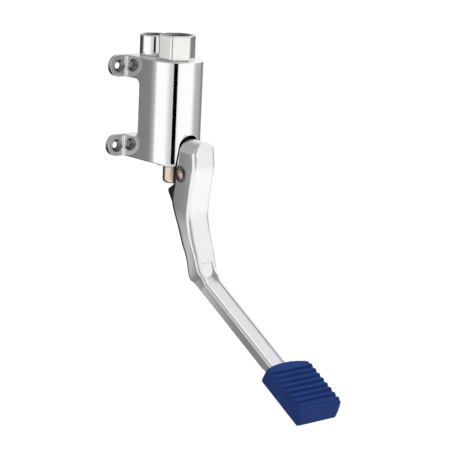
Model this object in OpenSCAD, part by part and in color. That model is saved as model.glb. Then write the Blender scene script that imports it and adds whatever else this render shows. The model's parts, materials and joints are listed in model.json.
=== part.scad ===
// Wall-mounted foot pedal tap valve, in millimetres.
// +Z is up, the wall is the plane Y = 0 and the valve stands out along -Y.
// The origin is the centre of the four wall fixing holes.

/* [Wall fixing] */
// Distance between fixing holes across the wall
hole_spacing_x = 58; // [54:1:70]
// Distance between fixing holes up the wall
hole_spacing_z = 66; // [60:1:90]
// Diameter of a fixing hole
fixing_hole_d = 5.5; // [4:0.5:6.5]
// Diameter of the countersink of a fixing hole
countersink_d = 11; // [9:0.5:13]
// Radius of an ear's rounded end
ear_r = 9; // [8:0.5:10]
// Thickness of an ear
ear_t = 4; // [3:0.5:6]

/* [Body] */
// Radius of the round front, and half the width between the flat sides
body_r = 22; // [21:0.5:26]
// Distance of the valve axis from the wall
axis_to_wall = 42; // [41:1:60]
// Distance of the body's back face behind the valve axis
body_back = 20; // [19:0.5:24]
// Chamfer along the top and bottom edges
edge_chamfer = 0.8; // [0.4:0.1:1.5]
// Radius of the inner fillets between the arms and the body
arm_fillet = 5; // [2:0.5:8]
// Radius of the boss round the plunger
boss_r = 14.5; // [12:0.5:15]
// Height of the boss below the body
boss_h = 2.5; // [1:0.5:4]

/* [Ports] */
// Size across the flats of the hexagonal inlet union
union_flats = 27; // [24:0.5:30]
// Height of the union above the body
union_h = 20; // [18:1:26]
// Turn of the tightened hexagon from square, in degrees
union_turn = 4; // [0:1:30]
// Outside diameter of the round outlet socket
socket_d = 24.5; // [23.5:0.5:25]
// Height of the outlet socket above the body
socket_h = 17; // [15:1:24]
// Distance between the two port axes
port_spacing = 29.5; // [28.5:0.5:32]
// Bore radius of both female threads
thread_r = 9.3; // [9:0.1:9.6]
// Depth of the relief behind the union's thread, where the washer is held
relief_depth = 0.6; // [0.3:0.1:1]
// Radius of the union's spigot thread
union_spigot_r = 10.45; // [10:0.05:11]
// Length of the union's spigot
union_spigot_h = 12; // [9:0.5:13]
// Radius of the outlet socket's spigot thread
socket_spigot_r = 10; // [9.8:0.1:10.6]
// Length of the outlet socket's spigot
socket_spigot_h = 8; // [6:0.5:9]

/* [Valve] */
// Radius of the gland bore and lower chamber
gland_r = 8.5; // [8.3:0.1:9.5]
// Radius of the water way through the seat
seat_bore_r = 6.2; // [5.5:0.1:6.8]
// Height of the seat ledge above the origin
ledge_z = -1; // [-4:0.5:2]
// Thickness of the seat ring below its lip
seat_t = 5; // [4:0.5:7]
// Radius of the rubber disc
disc_r = 8.2; // [7.6:0.1:8.6]
// Thickness of the rubber disc
disc_t = 3; // [2:0.25:4]
// Radius of the spindle
spindle_r = 3; // [2.5:0.1:3.5]
// Radius of the plunger cap
plunger_r = 8; // [7:0.1:8.1]
// Height of the plunger cap
plunger_h = 15; // [13:0.5:16]
// Radius of the plunger cap's lower edge
plunger_edge = 3.5; // [2:0.25:4]
// Wire diameter of the return spring
wire_d = 1.3; // [1:0.1:1.6]
// Number of turns in the return spring
spring_turns = 7; // [5:1:9]

/* [Pivot] */
// Distance of the pivot in front of the valve axis
pivot_forward = 24.1; // [23.5:0.1:26]
// Distance of the pivot below the body's bottom face
pivot_drop = 6; // [5:0.25:7]
// Radius of the pivot pin
pin_r = 3; // [2.5:0.1:3.5]
// Radius of the pin's domed head
pin_head_r = 4.2; // [3.8:0.1:5]
// Height of the pin head's rim above the lever's side
pin_rim_h = 1.2; // [0.4:0.1:2]
// Height of the dome on the pin's head
pin_dome_h = 1; // [0.5:0.1:1.5]
// Radius of the recess round the pin's head
recess_r = 6.8; // [6:0.1:7]
// Depth of the recess round the pin's head
recess_depth = 1; // [0.5:0.1:1.5]
// Radius of the tongue's round end
tongue_r = 6.5; // [6:0.1:7]
// Thickness of the tongue
tongue_t = 9; // [8:0.5:10]
// Thickness of a thrust washer
thrust_t = 0.5; // [0.3:0.1:0.8]

/* [Lever] */
// Width of the lever's head
head_w = 22; // [20:0.5:23]
// Width of the lever's bar
bar_w = 18; // [15:0.5:20]
// Thickness of the bar
bar_t = 9.9; // [8:0.1:11]
// Slope of the bar below the horizontal, in degrees
bar_slope = 29.8; // [20:0.2:38]
// Length of the bar from its knee to the pad
bar_len = 114.3; // [90:0.1:140]
// Height of the knee below the body
knee_drop = 85.5; // [80:0.5:92]
// Depth of the satin recess in the bar's front face
bar_recess = 0.8; // [0.4:0.1:1.5]
// Width of the lips beside that recess
bar_lip = 3.2; // [1:0.1:4]
// Distance from the knee to the recess
recess_start = 1; // [0:0.5:10]
// Radius of the bar's front edges
bar_edge = 2; // [0.8:0.1:3]
// Thickness that the bar loses where it enters the pad
bar_taper = 1.4; // [0.5:0.1:2]
// Width of the round-topped heel under the plunger
heel_w = 6; // [5:0.5:9]
// Rise of the heel's top, in degrees
heel_slope = 36.2; // [33:0.1:38]
// Gap between the head and the foot of the arched recess in the body
arch_gap = 1; // [0.8:0.1:2]
// Radius of the arch over the head
arch_r = 9.7; // [9.4:0.1:10.5]

/* [Pad] */
// Width of the rubber pad
pad_w = 43; // [38:0.5:56]
// Length of the rubber pad
pad_len = 47.5; // [44:0.5:60]
// How far the toe face leans back from its foot to its top edge
toe_lean = 4.4; // [0:0.2:6]
// Bevel along the toe's lower edge
toe_round = 4.5; // [2:0.5:6]
// Height of the pad's ridges
ridge_h = 2.3; // [1:0.1:3]
// Number of ridges
ridge_count = 8; // [5:1:9]
// Distance from one ridge to the next
ridge_pitch = 5.3; // [4.8:0.1:5.6]
// Width of the foot plate cast on the bar's end
plate_w = 34; // [24:1:35]
// Thickness of the foot plate
plate_t = 4; // [3:0.5:5]

/* [Fits] */
// Radial clearance of screwed and pushed-in pieces
seat_fit = 0.05; // [0.02:0.01:0.1]
// Radial clearance of turning and sliding pieces
running_fit = 0.05; // [0.02:0.01:0.1]
// Gap between pieces that touch while they move
contact_gap = 0.3; // [0.2:0.05:0.5]

/* [Hidden] */
$fn = 64;

eps = 0.01;
chrome = [0.82, 0.83, 0.85];
satin = [0.74, 0.75, 0.77];
brass = [0.80, 0.66, 0.40];
steel = [0.62, 0.64, 0.66];
rubber = [0.10, 0.10, 0.11];
pad_blue = [0.11, 0.19, 0.47];
bronze = [0.72, 0.50, 0.40];

// The body
arm_h = 2 * ear_r;
body_h = hole_spacing_z + arm_h;
top_z = body_h / 2;
bottom_z = -body_h / 2;
arm_gap_h = body_h - 2 * arm_h;
countersink_depth = (countersink_d - fixing_hole_d) / 2;

// Water ways in the body
chamber_r = union_spigot_r + seat_fit;
duct_r = 3.2;
duct_x = 6;
duct_y = gland_r + duct_r + 2.3;
upper_duct_z = top_z - socket_spigot_h - duct_r - 0.6;
lower_duct_z = ledge_z - 8;
outlet_pocket_r = 7.5;

// Ports
union_bore_r = 7.2;
thread_len = 13;
washer_t = 2;
strainer_flange_t = 1;
strainer_seat_z = top_z + union_h - thread_len - washer_t - strainer_flange_t;
strainer_wall = 0.6;
strainer_len = 14;
seal_groove = 1;
flat_seal_t = 0.8;

// Valve parts along the axis
seat_top_z = ledge_z + seat_t;
seat_lip_h = 1;
disc_z = seat_top_z + seat_lip_h;
holder_z = disc_z + disc_t;
holder_t = 3;
holder_r = disc_r + 1;
nut_z = holder_z + holder_t;
nut_flats = 8;
nut_h = 3.5;
stud_r = 2.4;
collar_r = seat_bore_r - 1.2;
retainer_t = 1.2;
retainer_z = top_z - union_spigot_h - retainer_t;
spring_r = 7.1;
gland_top_z = ledge_z - 16;
boss_z = bottom_z - boss_h;
gland_bottom_z = bottom_z + 2;
gland_grooves = [9, 14];
plunger_z = bottom_z - 18;

// Pivot and heel, as distances forward of the valve axis and heights
pivot_z = bottom_z - pivot_drop;
slot_half = tongue_t / 2 + thrust_t + 2 * running_fit;
edge_forward = plunger_r - plunger_edge;
heel_offset = (plunger_edge + contact_gap) / cos(heel_slope);
heel_z = plunger_z + plunger_edge - edge_forward * tan(heel_slope) - heel_offset;
heel_tip = -1;
slot_back = 13.5;
slot_rise = 20.5;
slot_foot = 5.3;
slot_reach = 8;
slot_wall = 1.2;
arch_half = head_w / 2 + arch_gap;
arch_z = pivot_z + 21;

// Bar: u runs down the bar from the knee, v stands out of its front face
knee_forward = 52;
knee_z = bottom_z - knee_drop;
tang_t = bar_t - bar_taper;
bar_toe = 5;
bar_end = bar_len + pad_len - bar_toe;
plate_toe = 7;
plate_v = 2;

// Pad
pad_top_v = 6.5;
pad_bottom_v = -10.5;
pad_h = pad_top_v - pad_bottom_v;
pad_round = 8;
pad_arch = 3.5;
pad_back = 2.5;
pad_wall = 2;
first_ridge = 2.6;

// Moves a child from the valve axis frame, where forward is -Y, to the wall frame
module on_axis(z = 0) { translate([0, -axis_to_wall, z]) children(); }

// Turns a profile drawn as (forward, height) into a slab across the valve
module slab(width) {
    rotate([90, 0, -90]) linear_extrude(width, center = true) children();
}

// Places a child whose X runs across, Y down the bar and Z out of its front face
module on_bar(u = 0, v = 0) {
    on_axis() translate([0, -knee_forward, knee_z])
        rotate([bar_slope, 0, 0]) translate([0, -u, v]) children();
}

module tube(r_out, r_in, h) {
    difference() {
        cylinder(r = r_out, h = h);
        translate([0, 0, -1]) cylinder(r = r_in, h = h + 2);
    }
}

module seal_ring(mean_r, wire_r) {
    rotate_extrude() translate([mean_r, 0]) circle(r = wire_r, $fn = 32);
}

// One ear with its countersunk fixing hole, standing out to +X
module ear_blank() {
    rotate([90, 0, 0]) linear_extrude(ear_t) {
        translate([hole_spacing_x / 2, 0]) circle(r = ear_r);
        translate([body_r - 1, -ear_r]) square([hole_spacing_x / 2 - body_r + 1, 2 * ear_r]);
    }
}

module fixing_hole() {
    rotate([90, 0, 0]) {
        translate([0, 0, -1]) cylinder(d = fixing_hole_d, h = ear_t + 2);
        translate([0, 0, ear_t - countersink_depth])
            cylinder(d1 = fixing_hole_d, d2 = countersink_d, h = countersink_depth);
        translate([0, 0, ear_t - eps]) cylinder(d = countersink_d, h = 2);
    }
}

module at_each_ear() {
    for (sx = [-1, 1])
        for (sz = [-1, 1])
            translate([0, 0, sz * hole_spacing_z / 2]) mirror([sx < 0 ? 1 : 0, 0, 0]) children();
}

// Outline of the block behind the round front, seen from the front
module block_outline() {
    c = edge_chamfer;
    polygon([
        [-body_r + c, bottom_z], [body_r - c, bottom_z], [body_r, bottom_z + c],
        [body_r, top_z - c], [body_r - c, top_z], [-body_r + c, top_z],
        [-body_r, top_z - c], [-body_r, bottom_z + c]
    ]);
}

module round_front() {
    c = edge_chamfer;
    rotate_extrude($fn = 96) polygon([
        [0, bottom_z], [body_r - c, bottom_z], [body_r, bottom_z + c],
        [body_r, top_z - c], [body_r - c, top_z], [0, top_z]
    ]);
}

// The open space between the arms, with its two inner fillets
module arm_gap() {
    depth = axis_to_wall - body_back;
    slab(2 * body_r + 4) difference() {
        translate([-axis_to_wall - 5, -arm_gap_h / 2]) square([depth + 5, arm_gap_h]);
        for (s = [-1, 1]) {
            x0 = -body_back - arm_fillet;
            y0 = s * (arm_gap_h / 2 - arm_fillet);
            difference() {
                translate([x0, min(y0, s * (arm_gap_h / 2 + 1))]) square([arm_fillet + 1, arm_fillet + 1]);
                translate([x0, y0]) circle(r = arm_fillet);
            }
        }
    }
}

// Arched recess in the front of the body for the lever's head
module arch_recess() {
    depth = body_r + 4 - slot_back;
    translate([0, -slot_back, 0]) rotate([90, 0, 0]) linear_extrude(depth) {
        translate([0, arch_z]) circle(r = arch_r);
        polygon([
            [-arch_half, boss_z - 1], [arch_half, boss_z - 1], [arch_half, bottom_z],
            [arch_r, arch_z], [-arch_r, arch_z], [-arch_half, bottom_z]
        ]);
    }
}

// The tongue that carries the pivot, between the lever's cheeks
module tongue() {
    slab(tongue_t) {
        translate([pivot_forward, pivot_z]) circle(r = tongue_r);
        polygon([
            [slot_back - 1, bottom_z], [slot_back - 1, bottom_z + 13],
            [pivot_forward, pivot_z + tongue_r],
            [pivot_forward + 0.8 * tongue_r, pivot_z],
            [pivot_forward - 0.8 * tongue_r, pivot_z - 0.6 * tongue_r]
        ]);
    }
}

module water_ways() {
    translate([0, 0, ledge_z]) cylinder(r = chamber_r, h = top_z - ledge_z + 1);
    translate([0, 0, boss_z - 1]) cylinder(r = gland_r + seat_fit, h = ledge_z - boss_z + 2);
    translate([0, port_spacing, top_z - socket_spigot_h])
        cylinder(r = socket_spigot_r + seat_fit, h = socket_spigot_h + 1);
    translate([0, port_spacing, upper_duct_z - duct_r])
        cylinder(r = outlet_pocket_r, h = top_z - upper_duct_z);
    for (s = [-1, 1]) {
        translate([s * duct_x, duct_y, lower_duct_z]) cylinder(r = duct_r, h = upper_duct_z - lower_duct_z);
        for (z = [lower_duct_z, upper_duct_z])
            translate([s * duct_x, duct_y, z]) sphere(r = duct_r, $fn = 48);
        translate([s * duct_x, duct_y, upper_duct_z]) rotate([-90, 0, 0])
            cylinder(r = duct_r, h = port_spacing - duct_y);
        translate([s * duct_x, 2, lower_duct_z]) rotate([-90, 0, 0]) cylinder(r = duct_r, h = duct_y - 2);
    }
}

module valve_body() {
    color(chrome) difference() {
        union() {
            on_axis() difference() {
                union() {
                    round_front();
                    rotate([-90, 0, 0]) mirror([0, 1, 0]) linear_extrude(axis_to_wall) block_outline();
                    translate([0, 0, boss_z]) cylinder(r = boss_r, h = boss_h + 1);
                }
                arm_gap();
                arch_recess();
            }
            on_axis() tongue();
            at_each_ear() ear_blank();
        }
        on_axis() water_ways();
        at_each_ear() translate([hole_spacing_x / 2, 0, 0]) fixing_hole();
        on_axis() translate([0, -pivot_forward, pivot_z]) rotate([0, 90, 0])
            cylinder(r = pin_r + 1.2 + seat_fit, h = tongue_t + 2, center = true);
    }
}

// Hexagon with its corners turned off at the top and, less, at the bottom
module chamfered_hex(flats, h) {
    corner_r = flats / sqrt(3);
    c = corner_r - flats / 2;
    intersection() {
        rotate([0, 0, 30]) cylinder(r = corner_r, h = h, $fn = 6);
        rotate_extrude() polygon([
            [0, 0], [corner_r - c / 2, 0], [corner_r, c / 4], [corner_r, h - c / 2],
            [corner_r - c, h], [0, h]
        ]);
    }
}

module inlet_union() {
    color(satin) on_axis(top_z) difference() {
        union() {
            rotate([0, 0, union_turn]) chamfered_hex(union_flats, union_h);
            translate([0, 0, -union_spigot_h]) cylinder(r = union_spigot_r, h = union_spigot_h + 1);
        }
        translate([0, 0, strainer_seat_z - top_z]) cylinder(r = thread_r, h = union_h);
        translate([0, 0, strainer_seat_z - top_z])
            cylinder(r = thread_r + relief_depth, h = strainer_flange_t + washer_t);
        translate([0, 0, union_h - 1]) cylinder(r1 = thread_r, r2 = thread_r + 1 + eps, h = 1 + eps);
        translate([0, 0, -union_spigot_h - 1]) cylinder(r = union_bore_r, h = union_h + union_spigot_h);
        rotate_extrude() translate([union_spigot_r, -seal_groove])
            square([2 * seal_groove, 2 * seal_groove], center = true);
    }
}

module inlet_seal() {
    wire_r = (chamber_r - union_spigot_r + seal_groove) / 2;
    color(rubber) on_axis(top_z - seal_groove) seal_ring(chamber_r - wire_r, wire_r);
}

module inlet_strainer() {
    color(steel) on_axis(strainer_seat_z) {
        cup_r = union_bore_r - 2 * seat_fit;
        difference() {
            union() {
                cylinder(r = thread_r - seat_fit, h = strainer_flange_t);
                translate([0, 0, -strainer_len]) cylinder(r = cup_r, h = strainer_len + eps);
            }
            translate([0, 0, -strainer_len + strainer_wall])
                cylinder(r = cup_r - strainer_wall, h = strainer_len + strainer_flange_t);
            for (k = [0:7]) rotate([0, 0, 22.5 * k]) translate([-cup_r - 1, -0.8, -strainer_len + 2])
                cube([2 * cup_r + 2, 1.6, strainer_len - 4]);
        }
    }
}

module inlet_washer() {
    color(rubber) on_axis(strainer_seat_z + strainer_flange_t)
        tube(thread_r - seat_fit, union_bore_r - 0.7, washer_t);
}

module outlet_socket() {
    color(chrome) on_axis(top_z) translate([0, port_spacing, 0]) difference() {
        union() {
            rotate_extrude() polygon([
                [0, 0], [socket_d / 2 - 0.4, 0], [socket_d / 2, 0.4], [socket_d / 2, socket_h - 0.8],
                [socket_d / 2 - 0.8, socket_h], [0, socket_h]
            ]);
            translate([0, 0, flat_seal_t - socket_spigot_h])
                cylinder(r = socket_spigot_r, h = socket_spigot_h - flat_seal_t + 1);
        }
        translate([0, 0, socket_h - thread_len]) cylinder(r = thread_r, h = thread_len + 1);
        translate([0, 0, -socket_spigot_h - 1])
            cylinder(r = outlet_pocket_r, h = socket_h + socket_spigot_h);
    }
}

module outlet_seal() {
    color(rubber) on_axis(top_z - socket_spigot_h) translate([0, port_spacing, 0])
        tube(socket_spigot_r, outlet_pocket_r, flat_seal_t);
}

module spring_retainer() {
    color(steel) on_axis(retainer_z) difference() {
        cylinder(r = union_spigot_r, h = retainer_t);
        translate([0, 0, -1]) cylinder(r = 5.2, h = retainer_t + 2);
    }
}

// Round wire along a helix, with flat ground ends left out
module coil(mean_r, wire_r, height, turns) {
    sides = 8;
    per_turn = 16;
    rings = turns * per_turn;
    function centre(i) = [
        mean_r * cos(360 * i / per_turn), mean_r * sin(360 * i / per_turn),
        wire_r + (height - 2 * wire_r) * i / rings
    ];
    points = [
        for (i = [0:rings], k = [0:sides - 1])
            centre(i) + wire_r * (
                cos(360 * k / sides) * [cos(360 * i / per_turn), sin(360 * i / per_turn), 0]
                + sin(360 * k / sides) * [0, 0, 1])
    ];
    faces = concat(
        [[for (k = [0:sides - 1]) k]],
        [for (i = [0:rings - 1], k = [0:sides - 1])
            [i * sides + k, (i + 1) * sides + k, i * sides + (k + 1) % sides]],
        [for (i = [0:rings - 1], k = [0:sides - 1])
            [i * sides + (k + 1) % sides, (i + 1) * sides + k, (i + 1) * sides + (k + 1) % sides]],
        [[for (k = [sides - 1:-1:0]) rings * sides + k]]
    );
    polyhedron(points = points, faces = faces);
}

module return_spring() {
    color(steel) on_axis(nut_z) coil(spring_r, wire_d / 2, retainer_z - nut_z, spring_turns);
}

module valve_seat() {
    color(brass) on_axis(ledge_z) difference() {
        rotate_extrude() polygon([
            [seat_bore_r, 0], [chamber_r - seat_fit, 0], [chamber_r - seat_fit, seat_t],
            [seat_bore_r + 1.6, seat_t], [seat_bore_r + 1.2, seat_t + seat_lip_h],
            [seat_bore_r, seat_t + seat_lip_h]
        ]);
        rotate_extrude() translate([chamber_r - seat_fit, seat_t / 2]) square([2.4, 1.8], center = true);
    }
}

module seat_seal() {
    color(rubber) on_axis(ledge_z + seat_t / 2) seal_ring(chamber_r - seat_fit - 0.6, 0.6);
}

module gland_bush() {
    color(brass) on_axis(gland_bottom_z) difference() {
        cylinder(r = gland_r, h = gland_top_z - gland_bottom_z);
        translate([0, 0, -1]) cylinder(r = spindle_r + running_fit, h = gland_top_z - gland_bottom_z + 2);
        for (z = gland_grooves) translate([0, 0, z - 1]) cylinder(r = spindle_r + 1.8, h = 2);
        translate([0, 0, -1]) cylinder(r = spindle_r + 2, h = 3);
        rotate_extrude() translate([gland_r, gland_top_z - gland_bottom_z - 3])
            square([2.4, 1.8], center = true);
    }
}

module gland_seal() {
    color(rubber) on_axis(gland_top_z - 3) seal_ring(gland_r - 0.6, 0.6);
}

module spindle_seals() {
    color(rubber) for (z = gland_grooves) on_axis(gland_bottom_z + z)
        seal_ring(spindle_r + running_fit + 0.85, 0.8);
}

module wiper_ring() {
    color(rubber) on_axis(gland_bottom_z) tube(spindle_r + 1.95, spindle_r + running_fit, 2);
}

module pivot_bush() {
    color(bronze) on_axis() translate([-tongue_t / 2, -pivot_forward, pivot_z]) rotate([0, 90, 0])
        tube(pin_r + 1.2, pin_r + running_fit, tongue_t);
}

module thrust_washers() {
    color(rubber) on_axis() for (s = [-1, 1])
        translate([s * (tongue_t + running_fit + thrust_t) / 2 - thrust_t / 2, -pivot_forward, pivot_z])
            rotate([0, 90, 0]) tube(tongue_r - 0.7, pin_r + running_fit, thrust_t);
}

module spindle() {
    color(steel) on_axis() rotate_extrude() polygon([
        [0, plunger_z + 4], [spindle_r, plunger_z + 4], [spindle_r, disc_z - 4.5],
        [collar_r, disc_z - 2.5], [collar_r, disc_z], [stud_r, disc_z],
        [stud_r, nut_z + nut_h + 1], [0, nut_z + nut_h + 1]
    ]);
}

module valve_disc() {
    color(rubber) on_axis(disc_z) tube(disc_r, stud_r + seat_fit, disc_t);
}

module disc_holder() {
    color(brass) on_axis(disc_z) difference() {
        translate([0, 0, 1]) cylinder(r = holder_r, h = disc_t + holder_t - 1);
        translate([0, 0, -eps]) cylinder(r = disc_r + seat_fit, h = disc_t + eps);
        cylinder(r = stud_r + seat_fit, h = disc_t + holder_t + 1);
    }
}

module disc_nut() {
    color(brass) on_axis(nut_z) difference() {
        chamfered_hex(nut_flats, nut_h);
        translate([0, 0, -1]) cylinder(r = stud_r + seat_fit, h = nut_h + 2);
    }
}

module plunger_cap() {
    color(brass) on_axis(plunger_z) difference() {
        rotate_extrude() {
            square([plunger_r - plunger_edge, plunger_h]);
            translate([0, plunger_edge]) square([plunger_r, plunger_h - plunger_edge]);
            intersection() {
                translate([plunger_r - plunger_edge, plunger_edge]) circle(r = plunger_edge);
                square([plunger_r, plunger_h]);
            }
        }
        translate([0, 0, 4]) cylinder(r = spindle_r + seat_fit, h = plunger_h);
    }
}

// Lever sections run from back to front. Each row holds the front point and the back edge of the
// flat side as (forward, height), half the width, the depth of the rounded back behind that edge
// and the radius of the front corners.
half_w = head_w / 2;
dome_z = pivot_z + 17;
bar_half = bar_w / 2;
u_dir = [cos(bar_slope), -sin(bar_slope)];
v_dir = [sin(bar_slope), cos(bar_slope)];
knee = [knee_forward, knee_z];
function bar_point(u, v) = knee + u * u_dir + v * v_dir;
head_front = pivot_forward + 18.4;
head_back = pivot_forward - 4.8;
lever_rows = [
    [[head_front - 0.6, dome_z], [head_back + 3, dome_z], half_w, 2.4, 4],
    [[head_front + 0.3, pivot_z + 8], [head_back + 0.9, pivot_z + 8], half_w, 3, 4],
    [[head_front - 0.8, pivot_z], [head_back - 0.4, pivot_z], half_w, 3.5, 4],
    [[head_front - 2.4, pivot_z - 9], [head_back - 0.6, pivot_z - 9], half_w, 4, 4],
    [[head_front - 3.6, pivot_z - 18], [head_back - 2, pivot_z - 17], half_w, 6.5, 4],
    [[head_front - 4.6, pivot_z - 26], [head_back - 2.2, pivot_z - 25], half_w, 8, 4],
    [[head_front - 4.8, pivot_z - 34], [head_back + 1.6, pivot_z - 34], half_w, 8.5, 4],
    [[head_front - 3, pivot_z - 42.5], [head_back + 6.6, pivot_z - 43.5], half_w, 8, 4],
    [[head_front + 0.4, pivot_z - 53], [head_back + 12.4, pivot_z - 56], half_w, 7, 3.5],
    [[head_front + 4.6, pivot_z - 63], [head_back + 17.4, pivot_z - 67], half_w - 0.5, 5.5, 3],
    [bar_point(-2.5, 3.4), bar_point(-9, -8), bar_half + 0.8, 4, 2.5],
    [bar_point(3, 2.6), bar_point(-1.5, -bar_t + 1.7), bar_half + 0.2, 2.4, 2]
];

function mix(a, b, t) = a + (b - a) * t;

// Smooth curve through the values of the rows, a quarter of the way at a time
function spline(p0, p1, p2, p3, t) =
    0.5 * (2 * p1 + (p2 - p0) * t + (2 * p0 - 5 * p1 + 4 * p2 - p3) * t * t
        + (3 * p1 - p0 - 3 * p2 + p3) * t * t * t);

function row_at(rows, i) = rows[max(0, min(len(rows) - 1, i))];

function blended(rows, i, t) = [
    for (k = [0:4]) spline(row_at(rows, i - 1)[k], row_at(rows, i)[k], row_at(rows, i + 1)[k],
        row_at(rows, i + 2)[k], t)
];

steps = 3;
smooth_rows = [
    for (i = [0:len(lever_rows) - 2], j = [0:steps - 1]) blended(lever_rows, i, j / steps)
];

// Round top: rows above the first one, whose width follows a half circle
dome_steps = 7;
dome_rows = [
    for (i = [dome_steps:-1:1])
        let (
            a = 84 * i / dome_steps,
            z = dome_z + half_w * sin(a),
            edge = 1 - cos(a)
        )
        [[head_front - 0.6 - 1.5 * edge, z], [head_back + 3 + 1.5 * edge * edge, z],
            half_w * cos(a), 2.4 - edge, max(0.4, 4 * pow(cos(a), 3))]
];

bar_rows = [
    [bar_point(8, 0), bar_point(8, -bar_t + 1.5), bar_half, 1.5, bar_edge],
    [bar_point(bar_len - 18, 0), bar_point(bar_len - 18, -bar_t + 1.5), bar_half, 1.5, bar_edge],
    [bar_point(bar_len - 8, 0), bar_point(bar_len - 8, -tang_t + 1.5), bar_half, 1.5, bar_edge],
    [bar_point(bar_end, 0), bar_point(bar_end, -tang_t + 1.5), bar_half, 1.5, bar_edge]
];

corner_steps = 4;

// One closed section: across is X, the depth runs from the back point to the front point
function section(row) =
    let (
        front = row[0], side = row[1], w = row[2], b = row[3], c = min(row[4], row[2] - 0.1),
        run = norm(front - side), dir = (front - side) / run, base = side - b * dir, depth = run + b,
        back_x = min(w, max(b * 1.2, 1)),
        half = concat(
            [for (k = [0:corner_steps]) let (t = 90 * k / corner_steps)
                [w - back_x + back_x * sin(t), b - b * cos(t)]],
            [for (k = [0:corner_steps]) let (t = 90 * k / corner_steps)
                [w - c + c * cos(t), depth - c + c * sin(t)]]
        ),
        count = len(half)
    )
    [for (k = [0:2 * count - 1])
        let (
            q = k < count ? half[k] : [-half[2 * count - 1 - k][0], half[2 * count - 1 - k][1]],
            p = base + q[1] * dir
        )
        [q[0], -p[0], p[1]]];

module loft(rows) {
    sections = [for (r = rows) section(r)];
    per = len(sections[0]);
    last = len(sections) - 1;
    points = [for (s = sections) each s];
    faces = concat(
        [[for (k = [0:per - 1]) k]],
        [for (i = [0:last - 1], k = [0:per - 1])
            [i * per + k, (i + 1) * per + k, i * per + (k + 1) % per]],
        [for (i = [0:last - 1], k = [0:per - 1])
            [i * per + (k + 1) % per, (i + 1) * per + k, (i + 1) * per + (k + 1) % per]],
        [[for (k = [per - 1:-1:0]) last * per + k]]
    );
    polyhedron(points = points, faces = faces);
}

// Round-topped heel that reaches back under the plunger
module heel() {
    r = heel_w / 2;
    rise = tan(heel_slope);
    reach = slot_back + 6;
    drop = r / cos(heel_slope);
    len = (reach - heel_tip) / cos(heel_slope) - r;
    slab(heel_w) polygon([
        [heel_tip + r * cos(heel_slope), heel_z + (heel_tip + r * cos(heel_slope)) * rise - drop],
        [reach, heel_z + reach * rise - drop], [reach + 2, pivot_z - 28], [heel_tip + 6.4, pivot_z - 28],
        [heel_tip + 0.6, heel_z + heel_tip * rise - 2.4]
    ]);
    translate([0, -reach, heel_z + reach * rise - drop]) rotate([90 - heel_slope, 0, 0]) mirror([0, 0, 1])
        cylinder(r = r, h = len - 0.1);
    translate([0, -reach, heel_z + reach * rise - drop]) rotate([90 - heel_slope, 0, 0]) mirror([0, 0, 1])
        translate([0, 0, len - 0.1]) sphere(r = r);
}

// Room for the tongue between the lever's cheeks
module tongue_slot() {
    r = tongue_r + slot_wall;
    slab(2 * slot_half) {
        translate([pivot_forward, pivot_z]) circle(r = r);
        polygon([
            [slot_back - slot_reach, pivot_z + slot_rise], [pivot_forward + r, pivot_z + slot_rise],
            [pivot_forward + r, pivot_z], [pivot_forward - 0.7 * r, pivot_z - 0.7 * r],
            [slot_back - slot_reach, pivot_z - slot_foot]
        ]);
    }
}

module lever_arm() {
    color(chrome) difference() {
        union() {
            on_axis() loft(concat(dome_rows, smooth_rows, bar_rows));
            on_axis() heel();
            on_bar(bar_len, -plate_t - plate_v) translate([-plate_w / 2, -pad_len + plate_toe, 0])
                cube([plate_w, pad_len - plate_toe, plate_t]);
        }
        on_axis() tongue_slot();
        on_axis() translate([0, -pivot_forward, pivot_z]) rotate([0, 90, 0]) {
            cylinder(r = pin_r + running_fit, h = head_w + 2, center = true);
            for (s = [0, 1]) mirror([0, 0, s]) translate([0, 0, half_w - recess_depth])
                cylinder(r = recess_r, h = recess_depth + 1);
        }
        on_bar(recess_start, -bar_recess) rotate([90, 0, 90])
            linear_extrude(bar_w - 2 * bar_lip, center = true)
                polygon([[0, 0], [9.4, 8], [-bar_len, 8], [-bar_len, 0]]);
    }
}

module pivot_pin() {
    dome_r = (pin_head_r * pin_head_r + pin_dome_h * pin_dome_h) / (2 * pin_dome_h);
    head_h = recess_depth + pin_rim_h + pin_dome_h;
    x0 = -half_w + recess_depth;
    color(bronze) on_axis() translate([x0, -pivot_forward, pivot_z]) rotate([0, 90, 0]) difference() {
        union() {
            cylinder(r = pin_r, h = head_w - recess_depth - 0.1);
            intersection() {
                translate([0, 0, -head_h]) cylinder(r = pin_head_r, h = head_h);
                translate([0, 0, dome_r - head_h]) sphere(r = dome_r);
            }
        }
        translate([0, 0, head_w - 2 * recess_depth + 0.35])
            rotate_extrude() translate([pin_r, 0]) square([1.2, 0.7], center = true);
    }
}

module pin_circlip() {
    color(steel) on_axis() translate([half_w - recess_depth + 0.05, -pivot_forward, pivot_z])
        rotate([0, 90, 0]) difference() {
            cylinder(r = pin_r + 2, h = 0.6);
            translate([0, 0, -1]) cylinder(r = pin_r - 0.5, h = 3);
            translate([0, -1.6, -1]) cube([8, 3.2, 3]);
        }
}

// Outline of the pad across the bar: flat top, large rounds below
module pad_profile() {
    w = pad_w / 2;
    translate([-w, 0]) square([pad_w, pad_top_v]);
    translate([-w + pad_round, pad_bottom_v]) square([pad_w - 2 * pad_round, pad_h]);
    translate([-w, pad_bottom_v + pad_round]) square([pad_w, pad_h - pad_round]);
    for (s = [-1, 1]) translate([s * (w - pad_round), pad_bottom_v + pad_round]) circle(r = pad_round);
}

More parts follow.
